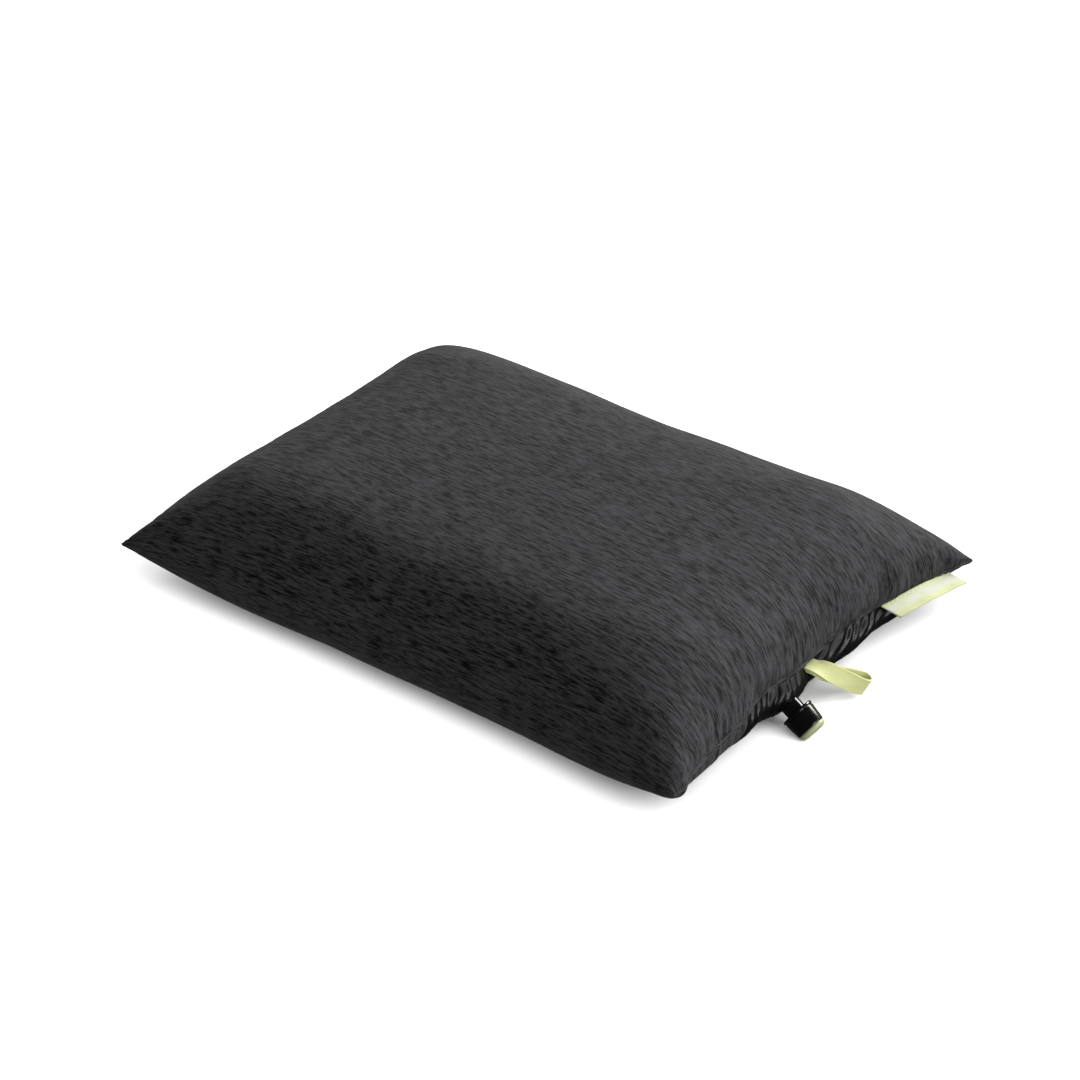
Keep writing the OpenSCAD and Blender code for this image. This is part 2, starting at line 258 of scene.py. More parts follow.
# --- Material kit ---
class Shader:
    """A short way to write a Principled material with its own nodes."""

    def __init__(self, name, roughness=0.6, **sockets):
        self.material = bpy.data.materials.new(name)
        self.material.use_nodes = True
        self.tree = self.material.node_tree
        self.main = self.tree.nodes["Principled BSDF"]
        self.main.inputs["Roughness"].default_value = roughness
        for socket, value in sockets.items():
            self.main.inputs[socket.replace("_", " ")].default_value = value

    def node(self, kind, **settings):
        made = self.tree.nodes.new("ShaderNode" + kind)
        for key, value in settings.items():
            setattr(made, key, value)
        return made

    def link(self, output, target):
        self.tree.links.new(output, target)

    def place(self, scale, source="cloth"):
        """Coordinates in metres, along the cloth or in the object's own frame, times scale."""
        if source == "cloth":
            start = self.node("Attribute", attribute_name="cloth").outputs["Vector"]
        else:
            start = self.node("TexCoord").outputs["Object"]
        stretch = self.node("VectorMath", operation="MULTIPLY")
        self.link(start, stretch.inputs[0])
        stretch.inputs[1].default_value = scale
        return stretch.outputs["Vector"]

    def noise(self, scale, detail=2, roughness=0.5, distortion=0, source="cloth"):
        where = self.place(scale, source)
        made = self.node("TexNoise")
        self.link(where, made.inputs["Vector"])
        made.inputs["Scale"].default_value = 1
        made.inputs["Detail"].default_value = detail
        made.inputs["Roughness"].default_value = roughness
        made.inputs["Distortion"].default_value = distortion
        return made.outputs["Fac"]

    def wave(self, scale, direction="X", source="cloth"):
        where = self.place(scale, source)
        made = self.node("TexWave", bands_direction=direction)
        self.link(where, made.inputs["Vector"])
        made.inputs["Scale"].default_value = 1
        return made.outputs["Fac"]

    def remap(self, value, low, high, to_low=0.0, to_high=1.0):
        return map_range(self.tree, value, low, high, to_low, to_high)

    def math(self, operation, first, second):
        made = self.node("Math", operation=operation)
        self.put(made.inputs[0], first)
        self.put(made.inputs[1], second)
        return made.outputs["Value"]

    def sum(self, *parts):
        """The sum of (value, weight) pairs."""
        total = None
        for value, weight in parts:
            term = self.math("MULTIPLY", value, weight)
            total = term if total is None else self.math("ADD", total, term)
        return total

    def ramp(self, value, stops):
        made = self.node("ValToRGB")
        self.link(value, made.inputs["Fac"])
        elements = made.color_ramp.elements
        while len(elements) < len(stops):
            elements.new(0.5)
        for element, (at, colour) in zip(elements, stops):
            element.position = at
            element.color = (*colour, 1)
        return made.outputs["Color"]

    def blend(self, share, first, second):
        made = self.node("Mix", data_type="RGBA")
        for socket, value in (("Factor", share), ("A", first), ("B", second)):
            self.put(made.inputs[socket], value)
        return made.outputs["Result"]

    def put(self, socket, value):
        if isinstance(value, (int, float)):
            socket.default_value = value
        elif isinstance(value, tuple):
            socket.default_value = (*value, 1)
        else:
            self.link(value, socket)

    def colour(self, value):
        self.link(value, self.main.inputs["Base Color"])

    def rough(self, value):
        self.link(value, self.main.inputs["Roughness"])

    def bump(self, height, strength, distance):
        made = self.node("Bump")
        made.inputs["Strength"].default_value = strength
        made.inputs["Distance"].default_value = distance
        self.link(height, made.inputs["Height"])
        self.link(made.outputs["Normal"], self.main.inputs["Normal"])


def grey(value, blue=1.08):
    return (value, value, value * blue)


def knit_material():
    """Charcoal heather jersey: fine dark and pale dashes along the length, over fine ribs."""
    s = Shader("jersey_knit", roughness=0.85, Sheen_Weight=0.06, Sheen_Roughness=0.45)
    s.main.inputs["Specular IOR Level"].default_value = 0.25
    dashes = s.noise((115, 850, 0), detail=4, roughness=0.64)
    threads = s.noise((230, 2500, 0), detail=2, roughness=0.6)
    bands = s.noise((50, 320, 0), detail=4, roughness=0.65)
    patches = s.noise((26, 60, 0), detail=3, roughness=0.55)
    dashes = s.remap(dashes, 0.39, 0.6)
    threads = s.remap(threads, 0.35, 0.65)
    bands = s.remap(bands, 0.36, 0.64)
    patches = s.remap(patches, 0.3, 0.7)
    tone = s.sum((dashes, 0.43), (threads, 0.17), (bands, 0.26), (patches, 0.14))
    shades = [(0.24, grey(0.0015)), (0.38, grey(0.013)), (0.5, grey(0.031)), (0.85, grey(0.056))]
    s.colour(s.ramp(tone, shades))
    ribs = s.wave((0, 350, 0), direction="Y")
    s.bump(s.sum((ribs, 0.35), (tone, 0.65)), 0.5, 0.25 * MM)
    return s.material


def woven_material():
    """Plain-woven polyester underside with a faint ripstop grid."""
    s = Shader("underside_weave", roughness=0.7, Sheen_Weight=0.06)
    warp = s.wave((300, 0, 0), direction="X")
    weft = s.wave((0, 300, 0), direction="Y")
    grid_u = s.remap(s.wave((32, 0, 0), direction="X"), 0.97, 1.0)
    grid_v = s.remap(s.wave((0, 32, 0), direction="Y"), 0.97, 1.0)
    grid = s.math("MAXIMUM", grid_u, grid_v)
    weave = s.math("MULTIPLY", warp, weft)
    wear = s.noise((40, 40, 0), detail=4)
    tone = s.sum((weave, 0.4), (wear, 0.4), (grid, 0.2))
    s.colour(s.ramp(tone, [(0.15, grey(0.010)), (0.8, grey(0.03))]))
    s.bump(s.math("ADD", weave, grid), 0.5, 0.15 * MM)
    return s.material


def bladder_material():
    """Smooth coated bladder fabric with a soft shine and a very fine weave."""
    s = Shader("bladder_fabric", roughness=0.34)
    s.main.inputs["Specular IOR Level"].default_value = 0.34
    warp = s.wave((420, 0, 0), direction="X")
    weft = s.wave((0, 420, 0), direction="Y")
    weave = s.math("MULTIPLY", warp, weft)
    cloud = s.noise((90, 90, 0), detail=4)
    tone = s.sum((cloud, 0.7), (weave, 0.3))
    s.colour(s.ramp(tone, [(0.2, grey(0.001)), (0.8, grey(0.004))]))
    s.rough(s.remap(cloud, 0.3, 0.7, 0.27, 0.4))
    s.bump(weave, 0.25, 0.08 * MM)
    return s.material


def batt_material():
    """White synthetic fibre batt."""
    s = Shader("fibre_batt", roughness=0.95, Sheen_Weight=0.3)
    fluff = s.noise((180, 180, 180), detail=6, roughness=0.7, distortion=0.6, source="object")
    s.colour(s.ramp(fluff, [(0.3, (0.62, 0.62, 0.6)), (0.7, (0.85, 0.85, 0.83))]))
    s.bump(fluff, 0.8, 0.8 * MM)
    return s.material


def ribbon_material(name, deep, pale, band=None):
    """Woven polyester tape: fine weft ribs across it, with a paler or greyer band if asked for.

    band is its two edges across the tape and their softness in millimetres, and its colour.
    """
    s = Shader(name, roughness=0.62, Sheen_Weight=0.15)
    ribs = s.wave((260, 0, 0), direction="X")
    threads = s.noise((500, 2500, 0), detail=2)
    cloud = s.noise((60, 160, 0), detail=3)
    tone = s.sum((cloud, 0.6), (threads, 0.25), (ribs, 0.15))
    colour = s.ramp(tone, [(0.25, deep), (0.75, pale)])
    if band:
        low, high, soft, tint = band
        across = s.node("SeparateXYZ")
        s.link(s.place((1, 1 / MM, 1)), across.inputs[0])
        rise = s.remap(across.outputs["Y"], low - soft, low + soft)
        fall = s.remap(across.outputs["Y"], high - soft, high + soft, 1, 0)
        faded = s.remap(s.noise((110, 260, 0), detail=3), 0.3, 0.6)
        share = s.math("MULTIPLY", s.math("MULTIPLY", rise, fall), faded)
        colour = s.blend(share, colour, tint)
    s.colour(colour)
    s.bump(s.math("ADD", ribs, s.math("MULTIPLY", threads, 0.6)), 0.5, 0.12 * MM)
    return s.material


def moulded_material(name, dark, light, roughness):
    """Moulded plastic or rubber, with faint flow marks and a little uneven gloss."""
    s = Shader(name, roughness=roughness)
    marks = s.noise((160, 160, 160), detail=4, roughness=0.6, source="object")
    s.colour(s.ramp(marks, [(0.3, dark), (0.7, light)]))
    s.rough(s.remap(marks, 0.3, 0.7, roughness - 0.03, roughness + 0.03))
    grain = s.noise((2200, 2200, 2200), detail=2, source="object")
    s.bump(grain, 0.12, 0.03 * MM)
    return s.material


def thread_material(name, dark, light):
    """Twisted sewing thread."""
    s = Shader(name, roughness=0.6, Sheen_Weight=0.2)
    twist = s.wave((900, 900, 900), direction="DIAGONAL", source="object")
    s.colour(s.ramp(twist, [(0.2, dark), (0.8, light)]))
    s.bump(twist, 0.5, 0.08 * MM)
    return s.material


LABEL_BAND = (2.6, 8.6, 1.4, (0.49, 0.50, 0.46))
MATERIALS = {
    "knit": knit_material(),
    "weave": woven_material(),
    "bladder": bladder_material(),
    "batt": batt_material(),
    "loop": ribbon_material("loop_ribbon", (0.46, 0.49, 0.18), (0.64, 0.66, 0.33)),
    "label": ribbon_material("label_ribbon", (0.38, 0.41, 0.17), (0.53, 0.56, 0.32), LABEL_BAND),
    "black": moulded_material("valve_black", (0.0015, 0.0015, 0.002), (0.004, 0.004, 0.0045), 0.16),
    "lime": moulded_material("valve_lime", (0.40, 0.45, 0.24), (0.48, 0.53, 0.30), 0.38),
    "rubber": moulded_material("seal_rubber", (0.10, 0.10, 0.10), (0.14, 0.14, 0.14), 0.6),
    "dark_thread": thread_material("dark_thread", grey(0.012), grey(0.05)),
    "lime_thread": thread_material("lime_thread", (0.5, 0.53, 0.3), (0.75, 0.77, 0.6)),
}


# --- Mesh kit ---
def make_piece(name, points, faces, material, body="pillow", cloth=None, place=None):
    """A smooth mesh object that rides on a CAD body.

    cloth is each point's place along the cloth in metres. place is its (u, v) on the pillow,
    and 1 on the outer face or 0 on the inner one.
    """
    mesh = bpy.data.meshes.new(name)
    mesh.from_pydata([tuple(p) for p in points], [], [tuple(int(k) for k in f) for f in faces])
    mesh.update()
    mesh.shade_smooth()
    for label, values in (("cloth", cloth), ("place", place)):
        if values is not None:
            spread = mesh.attributes.new(label, "FLOAT_VECTOR", "POINT")
            spread.data.foreach_set("vector", np.asarray(values, np.float32).ravel())
    piece = bpy.data.objects.new(name, mesh)
    bpy.context.scene.collection.objects.link(piece)
    mesh.materials.append(MATERIALS[material])
    if body:
        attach(piece, body)
    return piece


def unit(vectors):
    vectors = np.asarray(vectors, float)
    length = np.linalg.norm(vectors, axis=-1, keepdims=True)
    return vectors / np.maximum(length, 1e-12)


def smooth_step(t):
    s = np.clip(t, 0, 1)
    return s * s * (3 - 2 * s)


def path_lengths(points):
    steps = np.linalg.norm(np.diff(points, axis=0), axis=1)
    return np.concatenate([[0], np.cumsum(steps)])


def sweep(stations, section):
    """Points, faces and cloth coordinates of a section swept through stations.

    A station is (middle, width direction, thickness direction), and section lists
    (width, thickness) offsets in metres, anticlockwise.
    """
    ring = len(section)
    section = np.asarray(section, float)
    middles = np.array([s[0] for s in stations])
    wide = np.array([s[1] for s in stations])
    deep = np.array([s[2] for s in stations])
    points = (
        middles[:, None]
        + section[None, :, :1] * wide[:, None]
        + section[None, :, 1:] * deep[:, None]
    )
    along = np.repeat(path_lengths(middles)[:, None], ring, axis=1)
    across = np.repeat(section[None, :, 0], len(stations), axis=0)
    cloth = np.stack([along, across, np.zeros_like(along)], axis=-1).reshape(-1, 3)
    faces = []
    for k in range(len(stations) - 1):
        for c in range(ring):
            d = (c + 1) % ring
            a = k * ring
            faces.append((a + c, a + d, a + ring + d, a + ring + c))
    last = (len(stations) - 1) * ring
    faces.append(tuple(range(ring - 1, -1, -1)))
    faces.append(tuple(last + c for c in range(ring)))
    return points.reshape(-1, 3), faces, cloth


def tube_stations(path, up=(0, 0, 1)):
    """Stations along a path, with the thickness direction as near to up as it can be."""
    path = np.asarray(path, float)
    along = unit(np.gradient(path, axis=0))
    wide = unit(np.cross(np.broadcast_to(up, path.shape), along))
    deep = np.cross(along, wide)
    return list(zip(path, wide, deep))


def circle_section(radius, sides=8):
    turns = [2 * math.pi * k / sides for k in range(sides)]
    return [(radius * math.cos(a), radius * math.sin(a)) for a in turns]


def tape_section(width, thick):
    """A flat tape with soft round edges and a slightly thicker woven edge on each side."""
    half = width / 2
    edge = 0.5 * MM
    face = [(half - 0.2 * edge, 0.62), (half - 1.1 * edge, 0.62), (half - 2.2 * edge, 0.5)]
    face.append((half * 0.4, 0.5))
    upper = [(w, t * thick) for w, t in face] + [(-w, t * thick) for w, t in reversed(face)]
    lower = [(w, -t) for w, t in reversed(upper)]
    left = [(-half, 0.3 * thick), (-half, -0.3 * thick)]
    right = [(half, -0.3 * thick), (half, 0.3 * thick)]
    return upper + left + lower + right


# --- The pillow's surface ---
def falloff(a, power, rise):
    return np.maximum(0.0, 1 - np.abs(a) ** power) ** rise


def crown(u, v):
    return falloff(u, END_POWER, END_RISE) * falloff(v, SIDE_POWER, SIDE_RISE)


def soft_min(a, b, blend):
    return -blend * np.log(np.exp(-a / blend) + np.exp(-b / blend))


def surface(u, v, side, inset=0.0):
    """Points of the surface that lies inset metres inside the outer one."""
    x = HALF_L * u * (1 - END_PULL * (1 - v * v) * u * u) * (1 - inset / HALF_L)
    y = HALF_W * v * (1 - SIDE_PULL * (1 - u * u) * v * v) * (1 - inset / HALF_W)
    seam = SEAM_H + TIP_LIFT * (u * v) ** 4
    if side == TOP:
        z = seam + (CROWN_H - inset) * crown(u, v)
    else:
        fall = soft_min(BELLY_H * crown(u, v), seam, 0.8 * MM)
        z = seam - np.maximum(fall, 0) * (1 - inset / SEAM_H)
    return np.stack(np.broadcast_arrays(x, y, z), axis=-1)


def even_values(profile, count, marks):
    """count values from -1 to 1, evenly spaced along profile, with the nearest ones moved to marks."""
    fine = np.linspace(-1, 1, 20001)
    length = path_lengths(profile(fine))
    values = np.interp(np.linspace(0, length[-1], count), length, fine)
    for mark in marks:
        values[np.argmin(np.abs(values - mark))] = mark
    return values, np.interp(values, fine, length) - length[-1] / 2


u_values, u_length = even_values(
    lambda u: surface(u, 0 * u, TOP), GRID_U, (*PANEL_U, HEM_U, -HEM_U)
)
v_values, v_length = even_values(
    lambda v: surface(0 * v, v, TOP), GRID_V, (-PANEL_V, PANEL_V, *OPENING_V)
)
U, V = np.meshgrid(u_values, v_values, indexing="ij")
RIM = np.ones(U.shape, bool)
RIM[1:-1, 1:-1] = False
CELL_U = (u_values[:-1, None] + u_values[1:, None]) / 2 + 0 * v_values[None, :-1]
CELL_V = (v_values[None, :-1] + v_values[None, 1:]) / 2 + 0 * u_values[:-1, None]
CLOTH = np.stack([*np.meshgrid(u_length, v_length, indexing="ij"), 0 * U], axis=-1)


def cell_corners(grid):
    """The four corners of every cell of a grid, in turn."""
    return [grid[:-1, :-1], grid[1:, :-1], grid[1:, 1:], grid[:-1, 1:]]


def side_normals(points, side):
    along = np.gradient(points, axis=0)
    across = np.gradient(points, axis=1)
    normal = unit(np.cross(along, across))
    return normal if side == TOP else -normal


def shell_normals(points):
    """Outward normals of both sides, averaged along the shared rim."""
    both = [side_normals(points[side], side) for side in (TOP, BOTTOM)]
    mean = unit(both[TOP] + both[BOTTOM])
    return [np.where(RIM[..., None], mean, normal) for normal in both]


def noise_field(x, y, seed):
    """Smooth noise from -1 to 1 at each pair of coordinates."""
    flat = [noise.noise(Vector((a, b, seed))) for a, b in zip(np.ravel(x), np.ravel(y))]
    return np.array(flat).reshape(np.shape(x))


def corner_shift(points):
    """Draw the two pointed corners out into dog-ears and blunt the other two."""
    shift = np.zeros_like(points)
    for end, flank, draw, reach, drop in CORNERS:
        tip = surface(np.array(end), np.array(flank), TOP)
        outward = unit(tip[:2])
        away = np.linalg.norm((points - tip)[..., :2], axis=-1)
        share = np.exp(-away / reach) if draw > 0 else np.exp(-((away / reach) ** 2))
        shift[..., :2] += draw * share[..., None] * outward
        shift[..., 2] -= drop * share
    return shift


# Height, length, width and noise seed of the cover's soft swells
SWELLS = [(0.9 * MM, 75 * MM, 60 * MM, 3.1), (0.35 * MM, 30 * MM, 22 * MM, 8.4)]
# End, height, reach from the end, length, width and noise seed of the puckers
PUCKERS = [
    (1, 1.1 * MM, 12 * MM, 50 * MM, 7.5 * MM, 21.0),
    (1, 2.2 * MM, 40 * MM, 90 * MM, 20 * MM, 26.0),
    (-1, 0.9 * MM, 10 * MM, 50 * MM, 7 * MM, 30.0),
]


def cover_relief(side):
    """How far the cover stands proud of the plain surface: soft swells, and puckers at the ends."""
    along = CLOTH[..., 0]
    across = CLOTH[..., 1]
    relief = 0
    for height, length, width, seed in SWELLS:
        relief = relief + height * noise_field(along / length, across / width, seed + side)
    for end, height, reach, length, width, seed in PUCKERS:
        to_end = u_length[-1] - along if end > 0 else along - u_length[0]
        pucker = noise_field(across / width, to_end / length, seed + side)
        relief = relief + height * np.exp(-to_end / reach) * pucker
    fade = np.minimum(1, (1 - np.abs(U)) / 0.004 + 0.25)
    if side == BOTTOM:
        height = surface(U, V, BOTTOM)[..., 2]
        fade = fade * smooth_step(height / 0.02)
    return relief * fade


def fullness(side):
    """How far the stretched cover stands outside the plain surface.

    A little everywhere and most along the two outer air chambers. The back edge is slack in its
    middle and full towards the valve end.
    """
    slack = BACK_SLACK * np.exp(-((U / 0.3) ** 2))
    full = BACK_SWELL * np.exp(-(((U - 0.68) / 0.16) ** 2))
    proud = FULLNESS + (full - slack) * smooth_step((V - 0.45) / 0.3)
    if side == TOP:
        ridge = CHAMBER_V - 0.16 * U * U
        chamber = np.exp(-(((np.abs(V) - ridge) / 0.14) ** 2))
        proud = proud + CHAMBER_PROUD * chamber * smooth_step((1 - np.abs(U)) / 0.25)
    if side == BOTTOM:
        proud = proud * smooth_step(surface(U, V, BOTTOM)[..., 2] / 0.01)
    return proud


def build_cover_shell():
    """The final outer surface: the plain one with its relief, and never below the floor."""
    base = [surface(U, V, side) for side in (TOP, BOTTOM)]
    normals = shell_normals(base)
    moved = []
    for side in (TOP, BOTTOM):
        proud = cover_relief(side) + fullness(side)
        points = base[side] + normals[side] * proud[..., None] + corner_shift(base[side])
        blunt = np.exp(-(((V + 0.93) / 0.05) ** 2)) * smooth_step((U - 0.9) / 0.08)
        points[..., 0] += CORNER_BLUNT * blunt
        far_end = smooth_step((-U - 0.75) / 0.25) * smooth_step((1 - np.abs(V)) / 0.3)
        points[..., 0] -= FAR_END_DRAW * far_end
        moved.append(points)
    moved[BOTTOM] = np.where(RIM[..., None], moved[TOP], moved[BOTTOM])
    for points in moved:
        points[..., 2] = np.maximum(points[..., 2], FLOOR_GAP)
    return base, moved


def gathered(points):
    """The same points with the knit wider than its seam near the short ends, for the gathers."""
    near_end = np.exp(-(1 - np.abs(U)) * HALF_L / GATHER_REACH)
    wider = points.copy()
    wider[..., 1] *= 1 + GATHER * near_end
    return wider


CLOTH_SETTINGS = dict(
    quality=6, mass=0.2, air_damping=2, tension_stiffness=20, compression_stiffness=20,
    shear_stiffness=8, bending_stiffness=0.02, vertex_group_mass="grip", pin_stiffness=1,
    use_pressure=True, uniform_pressure_force=4,
)


def simulated_shift(shell):
    """How far inflating moves the cover: a cloth simulation under pressure, held along the seams.

    The knit is a little too wide for its end seams, so it buckles into gathers there.
    """
    rows, cols = U.shape
    count = rows * cols
    numbers = np.arange(count).reshape(rows, cols)
    lower = np.where(RIM, numbers, numbers + count)
    faces = []
    for side, ids in ((TOP, numbers), (BOTTOM, lower)):
        quads = np.stack(cell_corners(ids), axis=-1)
        faces.append(quads.reshape(-1, 4)[:, :: 1 if side == TOP else -1])
    used, faces = np.unique(np.concatenate(faces), return_inverse=True)
    faces = faces.reshape(-1, 4)
    start = np.concatenate([side.reshape(-1, 3) for side in shell])[used]
    rest = np.concatenate([gathered(side).reshape(-1, 3) for side in shell])[used]
    mesh = bpy.data.meshes.new("cloth_form")
    mesh.from_pydata(start.tolist(), [], faces.tolist())
    form = bpy.data.objects.new("cloth_form", mesh)
    bpy.context.scene.collection.objects.link(form)
    form.shape_key_add(name="start")
    uncut = form.shape_key_add(name="uncut")
    uncut.data.foreach_set("co", rest.ravel())
    held = np.tile(RIM.ravel(), 2)[used] | (start[:, 2] < HELD_BELOW)
    grip = form.vertex_groups.new(name="grip")
    grip.add(np.flatnonzero(held).tolist(), 1.0, "REPLACE")
    grip.add(np.flatnonzero(~held).tolist(), CLOTH_GRIP, "REPLACE")
    cloth = form.modifiers.new("cloth", "CLOTH")
    for key, value in CLOTH_SETTINGS.items():
        setattr(cloth.settings, key, value)
    cloth.settings.rest_shape_key = uncut
    cloth.settings.effector_weights.gravity = 0
    cloth.collision_settings.use_collision = False
    cloth.point_cache.frame_start = 1
    cloth.point_cache.frame_end = CLOTH_FRAMES
    for frame_number in range(1, CLOTH_FRAMES + 1):
        bpy.context.scene.frame_set(frame_number)
    result = form.evaluated_get(bpy.context.evaluated_depsgraph_get()).data
    ended = np.empty(len(start) * 3)
    result.vertices.foreach_get("co", ended)
    moved = ended.reshape(-1, 3) - start
    bpy.context.scene.frame_set(1)
    bpy.data.objects.remove(form)
    bpy.data.meshes.remove(mesh)
    length = np.linalg.norm(moved, axis=1, keepdims=True)
    moved = moved * np.minimum(1, CLOTH_CAP / np.maximum(length, 1e-9))
    whole = np.zeros((2 * count, 3))
    whole[used] = moved
    shift = list(whole.reshape(2, rows, cols, 3))
    shift[BOTTOM] = np.where(RIM[..., None], shift[TOP], shift[BOTTOM])
    return [soften(side) for side in shift]


def soften(field):
    """Average each inner point half-way with its four neighbours."""
    mean = (field[:-2, 1:-1] + field[2:, 1:-1] + field[1:-1, :-2] + field[1:-1, 2:]) / 4
    out = field.copy()
    out[1:-1, 1:-1] = (field[1:-1, 1:-1] + mean) / 2
    return out


base_shell, cover_shell = build_cover_shell()
for side, shift in enumerate(simulated_shift(cover_shell)):
    cover_shell[side] = cover_shell[side] + shift
    cover_shell[side][..., 2] = np.maximum(cover_shell[side][..., 2], FLOOR_GAP)
shell_shift = [cover_shell[side] - base_shell[side] for side in (TOP, BOTTOM)]


def inset_points(side, inset):
    """The final surface of a layer that lies inset metres inside the cover's outer one."""
    points = surface(U, V, side, inset) + shell_shift[side]
    points[..., 2] = np.maximum(points[..., 2], FLOOR_GAP + np.asarray(inset))
    return points


def lift_lip(side, points, share=1.0):
    """Draw the edge over the opening up and back: once by the valve, and once beyond the loop."""
    by_valve = 0.7 * np.exp(-(((V + 0.27) / 0.15) ** 2))
    by_valve = by_valve * smooth_step((V - OPENING_V[0] + 0.02) / 0.08)
    past_loop = 0.85 * np.exp(-(((V - 0.36) / 0.28) ** 2))
    away = np.linalg.norm(points - points[-1:], axis=-1)
    moved = (by_valve + past_loop) * np.exp(-away / LIP_REACH) * (U > 0) * share
    return points + moved[..., None] * LIP_LIFT


def lift_inner(side, points):
    """The layers behind the edge follow it most of the way."""
    return lift_lip(side, points, 0.8)


def layer_piece(name, has, outer, inner, material, slot, lift=None):
    """A closed sheet over the cells that has(side, u, v) accepts, between two insets.

    lift(side, points) may move a layer's points further.
    """
    inside = [has(side, CELL_U, CELL_V) & np.ones(CELL_U.shape, bool) for side in (TOP, BOTTOM)]
    rows, cols = U.shape
    count = rows * cols
    ids = np.zeros((2, 2, rows, cols), int)
    points = []
    for skin, inset in enumerate((outer, inner)):
        for side in (TOP, BOTTOM):
            placed = inset_points(side, inset(side) if callable(inset) else inset)
            if lift is not None:
                placed = lift(side, placed)
            points.append(placed.reshape(-1, 3))
            ids[skin, side] = (2 * skin + side) * count + np.arange(count).reshape(rows, cols)
        ids[skin, BOTTOM] = np.where(RIM, ids[skin, TOP], ids[skin, BOTTOM])
    faces = []
    for side in (TOP, BOTTOM):
        cell = inside[side]
        other = inside[1 - side]
        ring = cell_corners(ids[0, side])
        under = cell_corners(ids[1, side])
        near = [
            np.concatenate([other[:, :1], cell[:, :-1]], axis=1),
            np.concatenate([cell[1:], other[-1:]], axis=0),
            np.concatenate([cell[:, 1:], other[:, -1:]], axis=1),
            np.concatenate([other[:1], cell[:-1]], axis=0),
        ]
        turn = 1 if side == TOP else -1
        faces.append(np.stack([c[cell] for c in ring], axis=1)[:, ::turn])
        faces.append(np.stack([c[cell] for c in under], axis=1)[:, ::-turn])
        for k in range(4):
            edge = cell & ~near[k]
            m = (k + 1) % 4
            wall = np.stack([ring[m][edge], ring[k][edge], under[k][edge], under[m][edge]], axis=1)
            faces.append(wall[:, ::turn])
    used, faces = np.unique(np.concatenate(faces), return_inverse=True)
    faces = faces.reshape(-1, 4)
    points = np.concatenate(points)[used]
    cloth = np.tile(CLOTH.reshape(-1, 3), (4, 1))[used]
    grids = [np.stack([U, V, U * 0 + outside], axis=-1).reshape(-1, 3) for outside in (1, 1, 0, 0)]
    place = np.concatenate(grids)[used]
    return make_piece(name, points, faces, material, cloth=cloth, place=place)


def refine(piece, chosen, relief, cuts=2):
    """Divide the outer cells that chosen(u, v) accepts more finely, and raise them by a relief.

    relief(points, u, v, cloth) gives each point's height along its normal.
    """
    form = bmesh.new()
    form.from_mesh(piece.data)
    place = form.verts.layers.float_vector["place"]
    cloth = form.verts.layers.float_vector["cloth"]
    cells = []
    for face in form.faces:
        corners = [corner[place] for corner in face.verts]
        middle = sum(corners, Vector()) / len(corners)
        if middle.z > 0.99 and chosen(middle.x, middle.y):
            cells.append(face)
    edges = list({edge for face in cells for edge in face.edges})
    bmesh.ops.subdivide_edges(form, edges=edges, cuts=cuts, use_grid_fill=True)
    form.normal_update()
    outer = [vert for vert in form.verts if vert[place].z > 0.99]
    points = np.array([vert.co for vert in outer])
    places = np.array([vert[place] for vert in outer])
    spread = np.array([vert[cloth] for vert in outer])
    heights = relief(points, places[:, 0], places[:, 1], spread)
    for vert, height in zip(outer, heights):
        vert.co += vert.normal * float(height)
    form.to_mesh(piece.data)
    form.free()


def in_panel(u, v):
    return (u > PANEL_U[0]) & (u < PANEL_U[1]) & (np.abs(v) < PANEL_V)


def in_opening(u, v):
    return (u > PANEL_U[1]) & (v > OPENING_V[0]) & (v < OPENING_V[1])


def end_gathers(points, u, v, cloth):
    """Fine gathers and creases that fade away from the end seams, and the groove of a sewn hem."""
    to_end = np.where(u > 0, u_length[-1] - cloth[:, 0], cloth[:, 0] - u_length[0])
    gather = noise_field(cloth[:, 1] / 0.0042, to_end / 0.030, 32.0)
    crease = np.abs(noise_field(cloth[:, 1] / 0.011, to_end / 0.06, 47.0))
    height = GATHER_DEPTH * np.exp(-to_end / 0.011) * gather
    height = height - CREASE_DEPTH * np.exp(-to_end / 0.022) * np.exp(-((crease / 0.07) ** 2))
    stitched = smooth_step((OPENING_V[0] + 0.02 - v) / 0.05) * (u > 0)
    groove = np.exp(-(((to_end - HEM_WIDTH) / 0.0006) ** 2))
    groove = groove + 0.6 * np.exp(-((to_end / 0.0007) ** 2))
    return height - HEM_GROOVE * groove * stitched


KNIT_T = 1.0 * MM


def make_cover():
    cover = layer_piece(
        "knit_cover",
        lambda side, u, v: (side == TOP) | ~(in_panel(u, v) | in_opening(u, v)),
        0, KNIT_T, "knit", "jersey", lift=lift_lip,
    )
    refine(cover, lambda u, v: abs(u) > 0.93, end_gathers)
    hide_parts("jersey_cover")
    panel = layer_piece(
        "woven_underside",
        lambda side, u, v: (side == BOTTOM) & in_panel(u, v),
        0.05 * MM, KNIT_T, "weave", "underside_weave",
    )
    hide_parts("underside_panel")


def make_hems():
    hem = (1.15 * MM, 1.9 * MM)
    upper = layer_piece(
        "knit_hem",
        lambda side, u, v: (side == TOP) & (u > HEM_U) & (v > OPENING_V[0]) & (v < OPENING_V[1]),
        *hem, "knit", "jersey", lift=lift_lip,
    )
    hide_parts("upper_opening_hem")
    lower = layer_piece(
        "woven_hem",
        lambda side, u, v: (side == BOTTOM) & in_panel(u, v) & (u > 0.8),
        *hem, "weave", "underside_weave",
    )
    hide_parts("lower_opening_hem")


